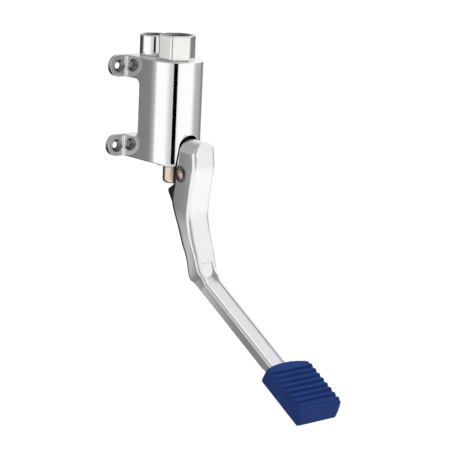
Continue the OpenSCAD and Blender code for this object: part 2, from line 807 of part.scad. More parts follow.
// Outline of the pad seen from its front, with the arched end towards the bar
module pad_plan() {
    w = pad_w / 2;
    arch_r = (w * w + pad_arch * pad_arch) / (2 * pad_arch);
    corner = 5;
    translate([-w, -pad_len + corner]) square([pad_w, pad_len - corner + pad_back]);
    translate([-w + corner, -pad_len]) square([pad_w - 2 * corner, pad_len]);
    for (s = [-1, 1]) translate([s * (w - corner), -pad_len + corner]) circle(r = corner);
    intersection() {
        translate([0, pad_arch + pad_back - arch_r]) circle(r = arch_r, $fn = 128);
        translate([-w, pad_back - 1]) square([pad_w, pad_arch + 2]);
    }
}

module foot_pad() {
    color(pad_blue) on_bar(bar_len) difference() {
        union() {
            intersection() {
                rotate([90, 0, 0]) translate([0, 0, -pad_arch - pad_back - 1])
                    linear_extrude(pad_len + pad_arch + pad_back + 2) pad_profile();
                translate([0, 0, pad_bottom_v - 1]) linear_extrude(pad_h + 2) pad_plan();
            }
            for (k = [0:ridge_count - 1])
                translate([0, -first_ridge - k * ridge_pitch, pad_top_v]) rotate([90, 0, 90])
                    linear_extrude(pad_w, center = true) polygon([
                        [-1.5, -0.5], [1.5, -0.5], [1.5, 0], [0.8, ridge_h], [-0.8, ridge_h], [-1.5, 0]
                    ]);
        }
        translate([0, -pad_len, pad_bottom_v]) rotate([90, 0, 90])
            linear_extrude(pad_w + 2, center = true)
                polygon([
                    [-1, -1], [toe_round + 1, -1], [0, toe_round], [toe_lean, pad_h],
                    [toe_lean, pad_h + 4], [-1, pad_h + 4]
                ]);
        translate([-bar_half - seat_fit, -pad_len + bar_toe - seat_fit, -tang_t - seat_fit])
            cube([bar_w + 2 * seat_fit, pad_len + pad_arch, tang_t + 2 * seat_fit]);
        translate([-plate_w / 2 - seat_fit, -pad_len + plate_toe - seat_fit, -plate_t - plate_v - seat_fit])
            cube([plate_w + 2 * seat_fit, pad_len - plate_toe + 2 * seat_fit, plate_t + 2 * seat_fit]);
    }
}

valve_body();
inlet_union();
inlet_seal();
inlet_strainer();
inlet_washer();
outlet_socket();
outlet_seal();
spring_retainer();
return_spring();
valve_seat();
seat_seal();
gland_bush();
gland_seal();
spindle_seals();
wiper_ring();
pivot_bush();
thrust_washers();
spindle();
valve_disc();
disc_holder();
disc_nut();
plunger_cap();
lever_arm();
pivot_pin();
pin_circlip();
foot_pad();
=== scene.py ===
"""Foot pedal tap valve: the castings, ports, lever and rubber pad that show, with their finishes
and a plain studio."""

import json
from math import asin, cos, degrees, hypot, pi, radians, sin, sqrt, tan, tau

import bmesh
import bpy
from bpy.props import FloatProperty, FloatVectorProperty, IntProperty, PointerProperty
from bpy.types import Operator, Panel, PropertyGroup
from mathutils import Matrix, Vector


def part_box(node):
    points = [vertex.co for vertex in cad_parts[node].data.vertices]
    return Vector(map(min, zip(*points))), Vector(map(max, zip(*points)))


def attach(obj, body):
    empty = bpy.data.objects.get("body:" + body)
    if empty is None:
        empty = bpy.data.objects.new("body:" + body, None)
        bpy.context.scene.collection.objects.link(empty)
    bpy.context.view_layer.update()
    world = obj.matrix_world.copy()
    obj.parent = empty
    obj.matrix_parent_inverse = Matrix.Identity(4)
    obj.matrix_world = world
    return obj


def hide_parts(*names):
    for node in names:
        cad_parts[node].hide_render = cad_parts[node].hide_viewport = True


bl_info = {
    "name": "Foot pedal tap valve",
    "version": (1, 0, 0),
    "blender": (4, 5, 0),
    "location": "3D View > Sidebar > Foot Tap",
    "description": "Models a wall-mounted foot pedal tap valve, its finishes and a plain studio",
    "category": "Object",
}

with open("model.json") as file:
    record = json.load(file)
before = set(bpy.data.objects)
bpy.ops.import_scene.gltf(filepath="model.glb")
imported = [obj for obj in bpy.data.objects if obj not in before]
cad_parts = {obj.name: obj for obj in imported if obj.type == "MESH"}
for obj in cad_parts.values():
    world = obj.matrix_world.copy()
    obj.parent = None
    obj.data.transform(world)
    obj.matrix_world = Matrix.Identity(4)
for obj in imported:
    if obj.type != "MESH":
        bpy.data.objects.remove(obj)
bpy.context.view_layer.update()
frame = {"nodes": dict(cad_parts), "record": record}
MM = 0.001
EAR_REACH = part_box("valve_body")[1].x / MM
UNION_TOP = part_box("inlet_union")[1].z / MM
PAD_WIDTH = (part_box("foot_pad")[1].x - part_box("foot_pad")[0].x) / MM

# Sizes that follow the solids, in millimetres
EAR_END = 9  # from the upper fixing holes to the body's top
ARM_HEIGHT = 18
ARCH_RADIUS, ARCH_RISE, ARCH_DEPTH = 9.7, 21, 13.5  # the recess, from the pivot and the axis
TONGUE_RADIUS, TONGUE_WIDTH = 6.5, 9
CHAMBER, GLAND, LEDGE = 10.5, 8.55, -1  # two bores' radii, and the height where they meet
DUCT_RADIUS, DUCT_ACROSS, DUCT_FORWARD = 3.2, 6, -14
PIVOT_DROP = 6  # from the body's foot to the pivot
KNEE_FORWARD, KNEE_DROP = 52, 85.5  # from the axis and below the body
HEEL_SLOPE, HEEL_WIDTH = radians(36.2), 6
PLUNGER_FOOT, PLUNGER_TOP, PLUNGER_EDGE = 18, 3, 3.5  # below the body, and the edge's radius
THREAD_DEPTH = 0.58
PAD_FACE, PAD_SOLE = 6.5, -10.5  # out of the bar's front face
PLATE_HALF, PLATE_OUT, PLATE_THICK = 17, -6, 4  # the foot plate inside the pad
FIT = 0.05  # clearance


# Sizes and colours that a user may change

def length(name, description, millimetres):
    return FloatProperty(
        name=name, description=description, default=millimetres * MM, min=0, precision=4, unit="LENGTH",
    )


def angle(name, description, degrees):
    return FloatProperty(name=name, description=description, default=radians(degrees), subtype="ANGLE")


def colour(name, description, value):
    return FloatVectorProperty(
        name=name, description=description, default=value, size=3, min=0, max=1, subtype="COLOR",
    )


class CastingSizes(PropertyGroup):
    front_radius: length("Front radius", "Radius of the front, and half the width", 22)
    axis_distance: length("Axis to wall", "Valve's axis from the wall", 42)
    back_depth: length("Back depth", "Back face behind the axis", 20)
    edge: length("Edge", "Radius of the top and bottom edges", 0.8)
    fillet: length("Arm fillet", "Radius where the arms meet the body", 5)
    hole_up: length("Hole spacing up", "Fixing holes apart, up the wall", 66)
    hole_across: length("Hole spacing across", "Fixing holes apart, across the wall", 58)
    hole: length("Fixing hole", "Diameter of a fixing hole", 5.5)
    countersink: length("Countersink", "Diameter of a countersink", 11)
    ear_thickness: length("Ear thickness", "Thickness of a fixing ear", 4)
    boss_radius: length("Boss radius", "Radius of the boss round the plunger", 14.5)
    boss_height: length("Boss height", "Height of the boss below the body", 2.5)


class PortSizes(PropertyGroup):
    flats: length("Across flats", "Size across the union's flats", 27)
    socket_diameter: length("Socket diameter", "Outside diameter of the socket", 24.5)
    socket_height: length("Socket height", "Height of the socket above the body", 17)
    spacing: length("Port spacing", "Between the two port axes", 29.5)
    thread_radius: length("Thread radius", "Radius inside the pipe thread's crests", 9.3)
    thread_pitch: length("Thread pitch", "From one thread to the next", 1.814)
    turn: angle("Hexagon turn", "Turn of the tightened hexagon", 4)


class LeverSizes(PropertyGroup):
    pivot_forward: length("Pivot forward", "Pivot in front of the valve's axis", 24.1)
    head_width: length("Head width", "Width of the lever's head", 22)
    bar_width: length("Bar width", "Width of the lever's bar", 18)
    bar_thickness: length("Bar thickness", "Thickness of the lever's bar", 9.9)
    bar_taper: length("Bar taper", "Thickness lost where the bar enters the pad", 1.4)
    bar_edge: length("Bar edge", "Radius of the bar's front edges", 2)
    bar_length: length("Bar length", "Length from the knee to the pad", 114.3)
    bar_slope: angle("Bar slope", "Slope of the bar below the horizontal", 29.8)
    recess: length("Bar recess", "Depth of the recess along the bar", 0.8)
    lip: length("Recess lip", "Width of the lips beside the recess", 3.2)
    recess_start: length("Recess start", "From the knee to the recess", 1)
    pin_radius: length("Pin radius", "Radius of the pivot pin", 3)
    pin_head: length("Pin head", "Radius of the pin's domed head", 4.2)
    pin_recess: length("Pin recess", "Radius of the recess about the pin's head", 6.8)
    plunger_radius: length("Plunger radius", "Radius of the brass plunger cap", 8)
    steps: IntProperty(
        name="Steps", description="Sections between two rows of the form", default=9, min=2, max=24,
    )


class PadSizes(PropertyGroup):
    width: length("Pad width", "Width of the rubber pad", PAD_WIDTH)
    length: length("Pad length", "Length of the rubber pad", 47.5)
    ridges: IntProperty(name="Ridges", description="Ridges across the pad", default=8, min=1, max=12)
    pitch: length("Ridge pitch", "From one ridge to the next", 5.3)
    ridge_height: length("Ridge height", "Height of a ridge", 2.3)
    bow: length("Pad bow", "Bow of the pad's end towards the bar", 3.5)
    back: length("Pad back", "Reach over the bar before the bow", 2.5)
    softness: length("Moulded edge", "Size of the cells that round the edges", 0.5)


class Colours(PropertyGroup):
    chrome: colour("Chrome", "Polished chrome", (0.88, 0.885, 0.895))
    satin: colour("Satin bar", "Brushed floor of the bar's recess", (0.79, 0.785, 0.82))
    nickel: colour("Nickel", "Satin nickel of the union", (0.83, 0.825, 0.80))
    steel: colour("Steel", "Stainless steel", (0.62, 0.62, 0.63))
    brass: colour("Brass", "Turned brass", (0.80, 0.65, 0.52))
    copper: colour("Copper", "Bronze of the pin and its bush", (0.56, 0.44, 0.40))
    blue: colour("Blue rubber", "Rubber of the pad", (0.013, 0.045, 0.208))
    black: colour("Black rubber", "Rubber of seals and washers", (0.022, 0.022, 0.023))
    acetal: colour("Acetal", "Plastic of the thrust washers", (0.80, 0.79, 0.75))


class FootTap(PropertyGroup):
    casting: PointerProperty(type=CastingSizes)
    ports: PointerProperty(type=PortSizes)
    lever: PointerProperty(type=LeverSizes)
    pad: PointerProperty(type=PadSizes)
    colours: PointerProperty(type=Colours)
    floor_drop: length("Floor", "Floor below the wall fixing", 520)


# Places, all in millimetres: across to the right, forward from the valve's axis, and up

def settings():
    return bpy.context.scene.foot_tap


def mm(value):
    return value / MM


def at(across, forward, height):
    return Vector((across, -mm(settings().casting.axis_distance) - forward, height)) * MM


def by(x=0, y=0, z=0):
    return Vector((x * MM, y * MM, z * MM))


def body_top():
    return mm(settings().casting.hole_up) / 2 + EAR_END


def pivot():
    """How far the pivot is forward, and its height."""
    return mm(settings().lever.pivot_forward), -body_top() - PIVOT_DROP


def on_bar(along, out):
    """Forward and height of a point along the bar from its knee, and out of its front face."""
    slope = settings().lever.bar_slope
    return (
        KNEE_FORWARD + along * cos(slope) + out * sin(slope),
        -body_top() - KNEE_DROP - along * sin(slope) + out * cos(slope),
    )


def bar_place(across, along, out):
    return at(across, *on_bar(along, out))


def bar_reach(along, out):
    return bar_place(0, along, out) - bar_place(0, 0, 0)


def arc(centre, radius, start, end, steps):
    """Points of a circle in a plane, from one angle to another in degrees."""
    angles = [radians(start + (end - start) * k / steps) for k in range(steps + 1)]
    return [(centre[0] + radius * cos(a), centre[1] + radius * sin(a)) for a in angles]


# Modelling by hand: a start, then edits

def deselect():
    if bpy.context.object and bpy.context.object.mode != "OBJECT":
        bpy.ops.object.mode_set(mode="OBJECT")
    bpy.ops.object.select_all(action="DESELECT")


def select(piece):
    deselect()
    piece.select_set(True)
    bpy.context.view_layer.objects.active = piece


def edit(piece):
    select(piece)
    bpy.ops.object.mode_set(mode="EDIT")
    bpy.ops.mesh.select_all(action="SELECT")
    return bmesh.from_edit_mesh(piece.data)


def tidied(piece):
    """Merges doubled points, turns all faces outwards and leaves edit mode."""
    bpy.ops.mesh.select_all(action="SELECT")
    bpy.ops.mesh.remove_doubles(threshold=0.002 * MM)
    bpy.ops.mesh.normals_make_consistent(inside=False)
    bpy.ops.object.mode_set(mode="OBJECT")
    return piece


def drawn(name, points):
    """A line drawn point by point from one starting point. It stays in edit mode."""
    deselect()
    bpy.ops.mesh.primitive_plane_add(size=MM, location=points[0])
    piece = bpy.context.object
    piece.name = piece.data.name = name
    bpy.ops.object.transform_apply(location=True)
    bpy.ops.object.mode_set(mode="EDIT")
    bpy.ops.mesh.select_all(action="SELECT")
    bpy.ops.mesh.merge(type="CENTER")
    for last, point in zip(points, points[1:]):
        bpy.ops.mesh.extrude_vertices_move(TRANSFORM_OT_translate={"value": point - last})
    bpy.ops.mesh.select_all(action="SELECT")
    return piece


def prism(name, points, reach):
    """A closed outline, filled and extruded by a vector."""
    piece = drawn(name, points)
    bpy.ops.mesh.edge_face_add()
    bpy.ops.mesh.extrude_region_move(TRANSFORM_OT_translate={"value": reach})
    return tidied(piece)


def turned(name, points, centre, axis, steps=96, ring=True):
    """A profile spun once round an axis. A ring's profile is closed, a solid's runs from axis to axis."""
    piece = drawn(name, points)
    if ring:
        bpy.ops.mesh.edge_face_add()
        bpy.ops.mesh.delete(type="ONLY_FACE")
        bpy.ops.mesh.select_all(action="SELECT")
    bpy.ops.mesh.spin(steps=steps, angle=tau, center=centre, axis=axis, use_auto_merge=True)
    return tidied(piece)


def turned_up(name, profile, forward=0, steps=96, ring=True):
    """A profile of (radius, height) turned round an upright axis."""
    points = [at(r, forward, z) for r, z in profile]
    return turned(name, points, at(0, forward, 0), (0, 0, 1), steps, ring)


def rod(name, radius, low, high, across=0, forward=0, steps=64):
    profile = [(0, low), (radius, low), (radius, high), (0, high)]
    points = [at(across + r, forward, z) for r, z in profile]
    return turned(name, points, at(across, forward, 0), (0, 0, 1), steps, ring=False)


def rod_across(name, radius, left, right, forward, height, steps=64):
    profile = [(left, 0), (left, radius), (right, radius), (right, 0)]
    points = [at(x, forward, height + r) for x, r in profile]
    return turned(name, points, at(0, forward, height), (1, 0, 0), steps, ring=False)


def rod_deep(name, radius, near, far, across, height, steps=64):
    profile = [(near, 0), (near, radius), (far, radius), (far, 0)]
    points = [at(across + r, f, height) for f, r in profile]
    return turned(name, points, at(across, 0, height), (0, 1, 0), steps, ring=False)


def changed(piece, kind, **values):
    """Adds a modifier with these values and applies it."""
    select(piece)
    bpy.ops.object.modifier_add(type=kind)
    modifier = piece.modifiers[-1]
    for name, value in values.items():
        setattr(modifier, name, value)
    bpy.ops.object.modifier_apply(modifier=modifier.name)
    return piece


def joined(piece, tool, how="DIFFERENCE"):
    """Cuts a tool away, welds it on or keeps what both share, and throws the tool away."""
    changed(piece, "BOOLEAN", operation=how, solver="EXACT", object=tool)
    bpy.data.objects.remove(tool)
    return piece


def rounded(piece, width):
    return changed(
        piece, "BEVEL", width=width * MM, segments=3, limit_method="ANGLE",
        angle_limit=radians(60), harden_normals=False, miter_outer="MITER_ARC",
    )


def bevelled(piece, width, segments, chosen, clamp=False):
    """Rounds the edges that are chosen by their two ends in millimetres."""
    for edge in edit(piece).edges:
        edge.select = bool(chosen(*(v.co / MM for v in edge.verts)))
    bpy.ops.mesh.bevel(offset=width * MM, segments=segments, affect="EDGES", clamp_overlap=clamp)
    return tidied(piece)


def copied(piece, name, shift=(0, 0, 0), half_turn=False):
    """A copy with its own mesh, moved, or turned by half round the upright centre line of the wall."""
    select(piece)
    bpy.ops.object.duplicate(linked=False)
    copy = bpy.context.object
    copy.name = copy.data.name = name
    edit(copy)
    if half_turn:
        bpy.ops.transform.rotate(value=pi, orient_axis="Y", center_override=(0, 0, 0))
    bpy.ops.transform.translate(value=shift)
    bpy.ops.object.mode_set(mode="OBJECT")
    return copy


def painted(piece, finish, chosen=lambda x, f, z, n: True):
    """Lays a finish on the faces that are chosen by their middle (across, forward, up) and normal."""
    if finish not in piece.data.materials:
        piece.data.materials.append(bpy.data.materials[finish])
    axis = mm(settings().casting.axis_distance)
    for face in edit(piece).faces:
        middle = face.calc_center_median() / MM
        face.select = bool(chosen(middle.x, -middle.y - axis, middle.z, face.normal))
    piece.active_material_index = piece.data.materials.find(finish)
    bpy.ops.object.material_slot_assign()
    bpy.ops.object.mode_set(mode="OBJECT")
    return piece


def finished(piece, finish, body, node, smooth=32):
    """Smooth shading with real edges kept, its finish, its place in the frame, and the result."""
    select(piece)
    bpy.ops.object.shade_smooth_by_angle(angle=radians(smooth))
    changed(piece, "WEIGHTED_NORMAL", keep_sharp=True, weight=60)
    if not piece.data.materials:
        piece.data.materials.append(bpy.data.materials[finish])
    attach(piece, body)
    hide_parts(node)
    return {"FINISHED"}


# Finishes

class Value:
    """One socket of a finish, so that its maths reads as an expression."""

    def __init__(self, finish, socket):
        self.finish, self.socket = finish, socket

    def maths(self, operation, first, second):
        return self.finish.node("ShaderNodeMath", {"operation": operation}, {0: first, 1: second})

    def __add__(self, other):
        return self.maths("ADD", self, other)

    def __radd__(self, other):
        return self.maths("ADD", other, self)

    def __mul__(self, other):
        return self.maths("MULTIPLY", self, other)

    def __rmul__(self, other):
        return self.maths("MULTIPLY", other, self)


class Finish:
    """A material, or a world's air, and the nodes in it."""

    def __init__(self, name, kind="materials"):
        self.material = getattr(bpy.data, kind).new(name)
        self.material.use_nodes = True
        self.tree = self.material.node_tree
        self.tree.nodes.clear()

    def node(self, kind, choices=None, inputs=None, output=0):
        """Adds a node, sets its choices and then its sockets, and gives one of its outputs."""
        made = self.tree.nodes.new(kind)
        for name, value in (choices or {}).items():
            if name == "stops":
                self.ramp(made.color_ramp.elements, value)
            else:
                setattr(made, name, value)
        for name, value in (inputs or {}).items():
            if isinstance(value, Value):
                self.tree.links.new(value.socket, made.inputs[name])
            else:
                made.inputs[name].default_value = value
        return Value(self, made.outputs[output]) if made.outputs else None

    def ramp(self, stops, greys):
        while len(stops) > 1:
            stops.remove(stops[-1])
        for k, (place, grey) in enumerate(greys):
            stop = stops[0] if k == 0 else stops.new(place)
            stop.position, stop.color = place, (grey, grey, grey, 1)

    def shown(self, shader, kind="Material"):
        self.node("ShaderNodeOutput" + kind, None, {"Surface": shader})
        return self.material

    def coat(self, shade, roughness, normal, metallic=1.0, specular=0.5):
        """The shader, with its varying and its constant values, and the output."""
        return self.shown(self.node("ShaderNodeBsdfPrincipled", None, {
            "Base Color": shade, "Metallic": metallic, "Roughness": roughness, "Normal": normal,
            "Specular IOR Level": specular,
        }))

    def glow(self, shade, strength=1.0):
        return self.node("ShaderNodeEmission", None, {"Color": shade, "Strength": strength})

    def spot(self):
        """A place on the piece, in its own coordinates."""
        return self.node("ShaderNodeTexCoord", None, None, 3)

    def noise(self, scale, detail=3, roughness=0.5, stretch=(1, 1, 1), turn=(0, 0, 0)):
        where = self.node(
            "ShaderNodeMapping", {"vector_type": "POINT"},
            {"Vector": self.spot(), "Rotation": turn, "Scale": stretch},
        )
        return self.node(
            "ShaderNodeTexNoise", {"noise_dimensions": "3D"},
            {"Vector": where, "Scale": scale, "Detail": detail, "Roughness": roughness},
        )

    def ranged(self, value, start, end, low=0.0, high=1.0):
        """A value laid out from low to high between a start and an end."""
        inputs = {"Value": value, "From Min": start, "From Max": end, "To Min": low, "To Max": high}
        return self.node("ShaderNodeMapRange", {"clamp": True}, inputs)

    def spread(self, pattern, low, high):
        """A pattern's middle range laid out from low to high."""
        return self.ranged(pattern, 0.3, 0.7, low, high)

    def blend(self, mask, first, second):
        first, second = (v if isinstance(v, Value) else (*v, 1) for v in (first, second))
        return self.node("ShaderNodeMix", {"data_type": "RGBA"}, {0: mask, 6: first, 7: second}, 2)

    def tint(self, pattern, shade, share):
        """A colour that a pattern darkens in places."""
        return self.blend(self.spread(pattern, 0, 1), darker(shade, share), shade)

    def relief(self, height, depth, strength=1.0, edge=0.0):
        """A bump of a real depth in millimetres, over edges softened by a real radius."""
        inputs = {"Height": height, "Distance": depth * MM, "Strength": strength}
        if edge:
            inputs["Normal"] = self.node("ShaderNodeBevel", {"samples": 6}, {"Radius": edge * MM})
        return self.node("ShaderNodeBump", None, inputs)


def darker(shade, share):
    return tuple(c * share for c in shade)


def polished_chrome(name, shade, rough=0.045):
    """Plating over a hand-polished casting: faint waves, a few haze patches and soft edges."""
    chrome = Finish(name)
    haze, waves = chrome.noise(38, 4, 0.6), chrome.noise(95, 2, 0.4)
    roughness = chrome.spread(haze, rough, rough + 0.04)
    return chrome.coat(chrome.tint(haze, shade, 0.96), roughness, chrome.relief(waves, 0.02, 0.35, 0.55))


def brushed_bar(name, shade, slope):
    """The satin floor of the bar's recess, brushed along the bar."""
    satin = Finish(name)
    lines = satin.noise(1.0, 5, 0.7, turn=(-slope, 0, 0), stretch=(2600, 60, 2600))
    patches = satin.noise(55)
    roughness = satin.spread(lines, 0.30, 0.40) + satin.spread(patches, -0.03, 0.04)
    return satin.coat(satin.tint(lines, shade, 0.90), roughness, satin.relief(lines, 0.012, 0.5, 0.4))


def satin_nickel(name, shade):
    """Nickel over machined flats, with fine turning lines and a slight haze."""
    nickel = Finish(name)
    lines, haze = nickel.noise(1.0, 4, 0.6, stretch=(120, 120, 3200)), nickel.noise(70)
    roughness = nickel.spread(haze, 0.10, 0.17)
    return nickel.coat(nickel.tint(haze, shade, 0.93), roughness, nickel.relief(lines, 0.008, 0.4, 0.5))


def turned_metal(name, shade, stretch, rough):
    """Lathe-turned metal, with tool marks round the axis that the stretch follows."""
    metal = Finish(name)
    marks, stain = metal.noise(1.0, 3, 0.6, stretch=stretch), metal.noise(160, 4, 0.6)
    roughness = metal.spread(marks, rough, rough + 0.08) + metal.spread(stain, -0.03, 0.04)
    return metal.coat(metal.tint(stain, shade, 0.82), roughness, metal.relief(marks, 0.01, 0.5, 0.2))


def moulded_rubber(name, shade, grain):
    """Moulded rubber with a fine grain, slightly faded where it is rubbed."""
    rubber = Finish(name)
    fine, faded = rubber.noise(grain, 3, 0.6), rubber.noise(85, 4, 0.6)
    rubbed = tuple(min(1, c * 1.12 + 0.002) for c in shade)
    tint = rubber.blend(rubber.spread(faded, 0, 1), darker(shade, 0.86), rubbed)
    return rubber.coat(tint, rubber.spread(faded, 0.55, 0.65), rubber.relief(fine, 0.03, 0.5), 0.0, 0.1)


def rough_casting(name, shade):
    """Thin plating over an unpolished casting, finely pitted; its dark colour is painted shade for holes,
    recesses and backs.
    """
    rough = Finish(name)
    pits, patches = rough.noise(900, 4, 0.7), rough.noise(60)
    roughness = rough.spread(pits, 0.4, 0.6)
    return rough.coat(rough.tint(patches, shade, 0.5), roughness, rough.relief(pits, 0.05, 0.8))


def machined_plastic(name, shade):
    plastic = Finish(name)
    marks = plastic.noise(1.0, 2, stretch=(3000, 140, 140))
    roughness = plastic.spread(marks, 0.42, 0.52)
    return plastic.coat(plastic.tint(marks, shade, 0.93), roughness, plastic.relief(marks, 0.01, 0.4), 0.0)


# Pieces

def thread_profile(radius, low, high, pitch):
    """Radii and heights up the crests and roots of a pipe thread."""
    root, points, z = radius + THREAD_DEPTH, [], low
    one_turn = (radius, 0.12), (root, 0.42), (root, 0.62), (radius, 0.92)
    while z + pitch < high:
        points += [(r, z + share * pitch) for r, share in one_turn]
        z += pitch
    return points


def lever_rows():
    """Sections of the lever from its top to the pad: front point, back edge of the flat side, half
    width, depth of the round back, and front corner radius."""
    lever = settings().lever
    p, pz = pivot()
    front, back, half = p + 18.4, p - 4.8, mm(lever.head_width) / 2
    thick, bar = mm(lever.bar_thickness), mm(lever.bar_width) / 2
    dome = pz + 17
    rows = [
        ((front - 0.6, dome), (back + 3, dome), half, 2.4, 4),
        ((front + 0.3, pz + 8), (back + 0.9, pz + 8), half, 3, 4),
        ((front - 0.8, pz), (back - 0.4, pz), half, 3.5, 4),
        ((front - 2.4, pz - 9), (back - 0.6, pz - 9), half, 4, 4),
        ((front - 3.6, pz - 18), (back - 2, pz - 17), half, 6.5, 4),
        ((front - 4.6, pz - 26), (back - 2.2, pz - 25), half, 8, 4),
        ((front - 4.8, pz - 34), (back + 1.6, pz - 34), half, 8.5, 4),
        ((front - 3, pz - 42.5), (back + 6.6, pz - 43.5), half, 8, 4),
        ((front + 0.4, pz - 53), (back + 12.4, pz - 56), half, 7, 3.5),
        ((front + 4.6, pz - 63), (back + 17.4, pz - 67), half - 0.5, 5.5, 3),
        (on_bar(-2.5, 3.4), on_bar(-9, -8), bar + 0.8, 4, 2.5),
        (on_bar(3, 2.6), on_bar(-1.5, 1.7 - thick), bar + 0.2, 2.4, 2),
    ]
    flat = [(*front_point, *side, w, b, c) for front_point, side, w, b, c in rows]

    def curve(a, b, c, d, t):
        square, cube = (2 * a - 5 * b + 4 * c - d) * t ** 2, (3 * b - a - 3 * c + d) * t ** 3
        return 0.5 * (2 * b + (c - a) * t + square + cube)

    made = []
    for k in range(29, 0, -1):  # the half-round top, every three degrees
        a = radians(3 * k)
        z, rise, corner = dome + half * sin(a), 1 - cos(a), max(0.4, 4 * cos(a) ** 3)
        front_point, side = (front - 0.6 - 1.5 * rise, z), (back + 3 + 1.5 * rise ** 2, z)
        made.append((*front_point, *side, half * cos(a), 2.4 - rise, corner))
    for i in range(len(flat) - 1):
        near = [flat[max(0, min(len(flat) - 1, i + k))] for k in (-1, 0, 1, 2)]
        for j in range(lever.steps):
            made.append(tuple(curve(*four, j / lever.steps) for four in zip(*near)))
    round_back, pad = 1.5, mm(lever.bar_length)
    full, tang = round_back - thick, round_back - thick + mm(lever.bar_taper)
    for u, v in (
        (8, full), (8.4, full), (60, full), (pad - 18, full), (pad - 17.6, full),
        (pad - 8.4, tang), (pad - 8, tang), (pad + mm(settings().pad.length) - 5, tang),
    ):
        made.append((*on_bar(u, 0), *on_bar(u, v), bar, round_back, mm(lever.bar_edge)))
    return made


def lever_section(row, steps=8):
    """The closed section of one row, as points in the frame."""
    ff, fz, sf, sz, w, b, c = row
    c = min(c, w - 0.1)
    run = hypot(ff - sf, fz - sz)
    df, dz = (ff - sf) / run, (fz - sz) / run
    depth, back = run + b, min(w, max(1.2 * b, 1))
    quarter = [radians(90 * k / steps) for k in range(steps + 1)]
    half = [(w - back + back * sin(t), b - b * cos(t)) for t in quarter]
    half += [(w - c + c * cos(t), depth - c + c * sin(t)) for t in quarter]
    both = half + [(-x, q) for x, q in reversed(half)]
    return [at(x, sf - b * df + q * df, sz - b * dz + q * dz) for x, q in both]


def lofted(name, rings):
    """A ring of edges, extruded and laid on each next section, with both ends filled."""
    deselect()
    bpy.ops.mesh.primitive_circle_add(vertices=len(rings[0]), radius=MM, fill_type="NOTHING")
    piece = bpy.context.object
    piece.name = piece.data.name = name
    mesh = edit(piece)
    mesh.verts.ensure_lookup_table()
    ring = list(range(len(rings[0])))

    def laid(places):
        for i, place in zip(ring, places):
            mesh.verts[i].co = place

    def extruded(i):
        ends = [e.other_vert(mesh.verts[i]) for e in mesh.verts[i].link_edges]
        return next(v.index for v in ends if v.select)

    laid(rings[0])
    bpy.ops.mesh.edge_face_add()
    for places in rings[1:]:
        step = places[0] - mesh.verts[ring[0]].co
        bpy.ops.mesh.extrude_region_move(TRANSFORM_OT_translate={"value": step})
        mesh = bmesh.from_edit_mesh(piece.data)
        mesh.verts.index_update()
        mesh.verts.ensure_lookup_table()
        ring = [extruded(i) for i in ring]
        laid(places)
    bmesh.update_edit_mesh(piece.data)
    return tidied(piece)


class MakeFinishes(Operator):
    """Makes every finish and lays them on the nodes that stay as they are"""

    bl_idname = "foot_tap.make_finishes"
    bl_label = "Finishes"

    def execute(self, context):
        for plain in list(bpy.data.materials):
            plain.name = "plain_" + plain.name
        shades = {name: tuple(getattr(settings().colours, name)) for name in Colours.__annotations__}
        chrome, steel = shades["chrome"], shades["steel"]
        recipes = {
            "polished_chrome": (polished_chrome, chrome),
            "soft_chrome": (polished_chrome, chrome, 0.3),
            "dull_chrome": (polished_chrome, darker(chrome, 0.86), 0.3),
            "satin_nickel": (satin_nickel, shades["nickel"]),
            "brushed_bar": (brushed_bar, shades["satin"], settings().lever.bar_slope),
            "brass": (turned_metal, shades["brass"], (60, 60, 2600), 0.16),
            "bronze": (turned_metal, shades["copper"], (2600, 60, 60), 0.2),
            "stainless": (turned_metal, steel, (300, 300, 900), 0.3),
            # Turned steel darkened as painted shade inside bores, countersinks and the pin recess
            "machined_bore": (turned_metal, darker(steel, 0.4), (90, 90, 2200), 0.32),
            # A near-black casting colour as painted shade in holes, recesses, the heel and the pin ring
            "rough_casting": (rough_casting, darker(chrome, 0.05)),
            # A dark casting colour as painted shade on the lever's back faces
            "plated_back": (rough_casting, darker(chrome, 0.16)),
            "black_rubber": (moulded_rubber, shades["black"], 1800),
            "blue_rubber": (moulded_rubber, shades["blue"], 1500),
            "acetal": (machined_plastic, shades["acetal"]),
        }
        for name, (recipe, *values) in recipes.items():
            recipe(name, *values)
        slots = {part["node"]: part["material_slot"] for part in frame["record"]["subparts"]}
        for name, node in frame["nodes"].items():
            node.data.materials.clear()
            node.data.materials.append(bpy.data.materials[slots[name]])
        return {"FINISHED"}


